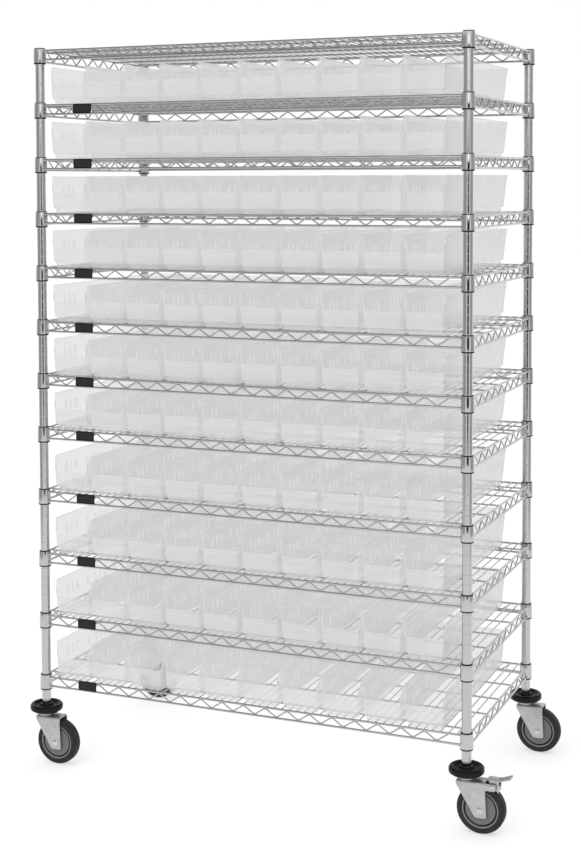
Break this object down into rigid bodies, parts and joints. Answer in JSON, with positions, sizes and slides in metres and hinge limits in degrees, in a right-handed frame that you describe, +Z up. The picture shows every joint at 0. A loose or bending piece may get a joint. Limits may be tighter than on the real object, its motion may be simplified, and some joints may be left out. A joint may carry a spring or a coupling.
{
  "type": "wire bin shelving unit",
  "caption": "Mobile chrome wire shelving unit on swivel casters, its closely spaced shelves carrying rows of clear hopper-front plastic bins that pull out for small parts.",
  "frame": {"origin": "on the floor, midway between the axes of the four posts", "axes": "+Z up, +X to the right along the front, +Y to the back"},
  "size_m": [1.41, 0.7014, 2.032],
  "materials": {
    "chrome_plate": "bright chromium plate over welded steel wire and tube",
    "zinc_plate": "bright zinc plate over pressed steel",
    "clear_plastic": "clear moulded polypropylene, slightly milky",
    "black_plastic": "black moulded plastic",
    "bumper_rubber": "soft black moulded bumper",
    "hub_plastic": "grey moulded wheel core",
    "tyre_rubber": "dark grey non-marking tread"
  },
  "bodies": {
    "frame": {"post_front_left": "chrome_plate", "post_front_right": "chrome_plate", "post_rear_left": "chrome_plate", "post_rear_right": "chrome_plate", "post_caps": "chrome_plate", "shelf_01": "chrome_plate", "shelf_02": "chrome_plate", "shelf_03": "chrome_plate", "shelf_04": "chrome_plate", "shelf_05": "chrome_plate", "shelf_06": "chrome_plate", "shelf_07": "chrome_plate", "shelf_08": "chrome_plate", "shelf_09": "chrome_plate", "shelf_10": "chrome_plate", "shelf_11": "chrome_plate", "shelf_12": "chrome_plate", "split_sleeves": "black_plastic", "name_plates": "black_plastic", "caster_stems": "zinc_plate", "caster_bumpers": "bumper_rubber"},
    "swivel_front_left": {"fork_front_left": "zinc_plate", "axle_front_left": "zinc_plate"},
    "wheel_front_left": {"wheel_core_front_left": "hub_plastic", "tyre_front_left": "tyre_rubber"},
    "swivel_front_right": {"fork_front_right": "zinc_plate", "axle_front_right": "zinc_plate"},
    "wheel_front_right": {"wheel_core_front_right": "hub_plastic", "tyre_front_right": "tyre_rubber"},
    "pedal_front_right": {"brake_pedal_front_right": "zinc_plate"},
    "swivel_rear_left": {"fork_rear_left": "zinc_plate", "axle_rear_left": "zinc_plate"},
    "wheel_rear_left": {"wheel_core_rear_left": "hub_plastic", "tyre_rear_left": "tyre_rubber"},
    "pedal_rear_left": {"brake_pedal_rear_left": "zinc_plate"},
    "swivel_rear_right": {"fork_rear_right": "zinc_plate", "axle_rear_right": "zinc_plate"},
    "wheel_rear_right": {"wheel_core_rear_right": "hub_plastic", "tyre_rear_right": "tyre_rubber"},
    "bin_01": {"bin_01": "clear_plastic"},
    "bin_02": {"bin_02": "clear_plastic"},
    "bin_03": {"bin_03": "clear_plastic"},
    "bin_04": {"bin_04": "clear_plastic"},
    "bin_05": {"bin_05": "clear_plastic"},
    "bin_06": {"bin_06": "clear_plastic"},
    "bin_07": {"bin_07": "clear_plastic"},
    "bin_08": {"bin_08": "clear_plastic"},
    "bin_09": {"bin_09": "clear_plastic"},
    "bin_10": {"bin_10": "clear_plastic"},
    "bin_row_02": {"bin_row_02": "clear_plastic"},
    "bin_row_03": {"bin_row_03": "clear_plastic"},
    "bin_row_04": {"bin_row_04": "clear_plastic"},
    "bin_row_05": {"bin_row_05": "clear_plastic"},
    "bin_row_06": {"bin_row_06": "clear_plastic"},
    "bin_row_07": {"bin_row_07": "clear_plastic"},
    "bin_row_08": {"bin_row_08": "clear_plastic"},
    "bin_row_09": {"bin_row_09": "clear_plastic"},
    "bin_row_10": {"bin_row_10": "clear_plastic"},
    "bin_row_11": {"bin_row_11": "clear_plastic"}
  },
  "joints": [
    {"name": "swivel_front_left", "type": "hinge", "parent": "frame", "child": "swivel_front_left", "pos_m": [-0.6225, -0.3048, 0.129], "axis": [0, 0, 1], "continuous": true},
    {"name": "wheel_front_left", "type": "hinge", "parent": "swivel_front_left", "child": "wheel_front_left", "pos_m": [-0.5825, -0.3048, 0.0635], "axis": [0, 1, 0], "continuous": true},
    {"name": "swivel_front_right", "type": "hinge", "parent": "frame", "child": "swivel_front_right", "pos_m": [0.6225, -0.3048, 0.129], "axis": [0, 0, 1], "continuous": true},
    {"name": "wheel_front_right", "type": "hinge", "parent": "swivel_front_right", "child": "wheel_front_right", "pos_m": [0.6625, -0.3048, 0.0635], "axis": [0, 1, 0], "continuous": true},
    {"name": "pedal_front_right", "type": "hinge", "parent": "swivel_front_right", "child": "pedal_front_right", "pos_m": [0.6945, -0.3048, 0.129], "axis": [0, 1, 0], "range_deg": [0, 11]},
    {"name": "swivel_rear_left", "type": "hinge", "parent": "frame", "child": "swivel_rear_left", "pos_m": [-0.6225, 0.3048, 0.129], "axis": [0, 0, 1], "continuous": true},
    {"name": "wheel_rear_left", "type": "hinge", "parent": "swivel_rear_left", "child": "wheel_rear_left", "pos_m": [-0.5825, 0.3048, 0.0635], "axis": [0, 1, 0], "continuous": true},
    {"name": "pedal_rear_left", "type": "hinge", "parent": "swivel_rear_left", "child": "pedal_rear_left", "pos_m": [-0.5505, 0.3048, 0.129], "axis": [0, 1, 0], "range_deg": [0, 11]},
    {"name": "swivel_rear_right", "type": "hinge", "parent": "frame", "child": "swivel_rear_right", "pos_m": [0.6225, 0.3048, 0.129], "axis": [0, 0, 1], "continuous": true},
    {"name": "wheel_rear_right", "type": "hinge", "parent": "swivel_rear_right", "child": "wheel_rear_right", "pos_m": [0.6625, 0.3048, 0.0635], "axis": [0, 1, 0], "continuous": true},
    {"name": "bin_01_slide", "type": "slide", "parent": "frame", "child": "bin_01", "axis": [0, -1, 0], "range_m": [0, 0.65]},
    {"name": "bin_02_slide", "type": "slide", "parent": "frame", "child": "bin_02", "axis": [0, -1, 0], "range_m": [0, 0.65]},
    {"name": "bin_03_slide", "type": "slide", "parent": "frame", "child": "bin_03", "axis": [0, -1, 0], "range_m": [0, 0.65]},
    {"name": "bin_04_slide", "type": "slide", "parent": "frame", "child": "bin_04", "axis": [0, -1, 0], "range_m": [0, 0.65]},
    {"name": "bin_05_slide", "type": "slide", "parent": "frame", "child": "bin_05", "axis": [0, -1, 0], "range_m": [0, 0.65]},
    {"name": "bin_06_slide", "type": "slide", "parent": "frame", "child": "bin_06", "axis": [0, -1, 0], "range_m": [0, 0.65]},
    {"name": "bin_07_slide", "type": "slide", "parent": "frame", "child": "bin_07", "axis": [0, -1, 0], "range_m": [0, 0.65]},
    {"name": "bin_08_slide", "type": "slide", "parent": "frame", "child": "bin_08", "axis": [0, -1, 0], "range_m": [0, 0.65]},
    {"name": "bin_09_slide", "type": "slide", "parent": "frame", "child": "bin_09", "axis": [0, -1, 0], "range_m": [0, 0.65]},
    {"name": "bin_10_slide", "type": "slide", "parent": "frame", "child": "bin_10", "axis": [0, -1, 0], "range_m": [0, 0.65]},
    {"name": "bin_row_02_slide", "type": "slide", "parent": "frame", "child": "bin_row_02", "axis": [0, -1, 0], "range_m": [0, 0.65]},
    {"name": "bin_row_03_slide", "type": "slide", "parent": "frame", "child": "bin_row_03", "axis": [0, -1, 0], "range_m": [0, 0.65]},
    {"name": "bin_row_04_slide", "type": "slide", "parent": "frame", "child": "bin_row_04", "axis": [0, -1, 0], "range_m": [0, 0.65]},
    {"name": "bin_row_05_slide", "type": "slide", "parent": "frame", "child": "bin_row_05", "axis": [0, -1, 0], "range_m": [0, 0.65]},
    {"name": "bin_row_06_slide", "type": "slide", "parent": "frame", "child": "bin_row_06", "axis": [0, -1, 0], "range_m": [0, 0.65]},
    {"name": "bin_row_07_slide", "type": "slide", "parent": "frame", "child": "bin_row_07", "axis": [0, -1, 0], "range_m": [0, 0.65]},
    {"name": "bin_row_08_slide", "type": "slide", "parent": "frame", "child": "bin_row_08", "axis": [0, -1, 0], "range_m": [0, 0.65]},
    {"name": "bin_row_09_slide", "type": "slide", "parent": "frame", "child": "bin_row_09", "axis": [0, -1, 0], "range_m": [0, 0.65]},
    {"name": "bin_row_10_slide", "type": "slide", "parent": "frame", "child": "bin_row_10", "axis": [0, -1, 0], "range_m": [0, 0.65]},
    {"name": "bin_row_11_slide", "type": "slide", "parent": "frame", "child": "bin_row_11", "axis": [0, -1, 0], "range_m": [0, 0.65]}
  ]
}
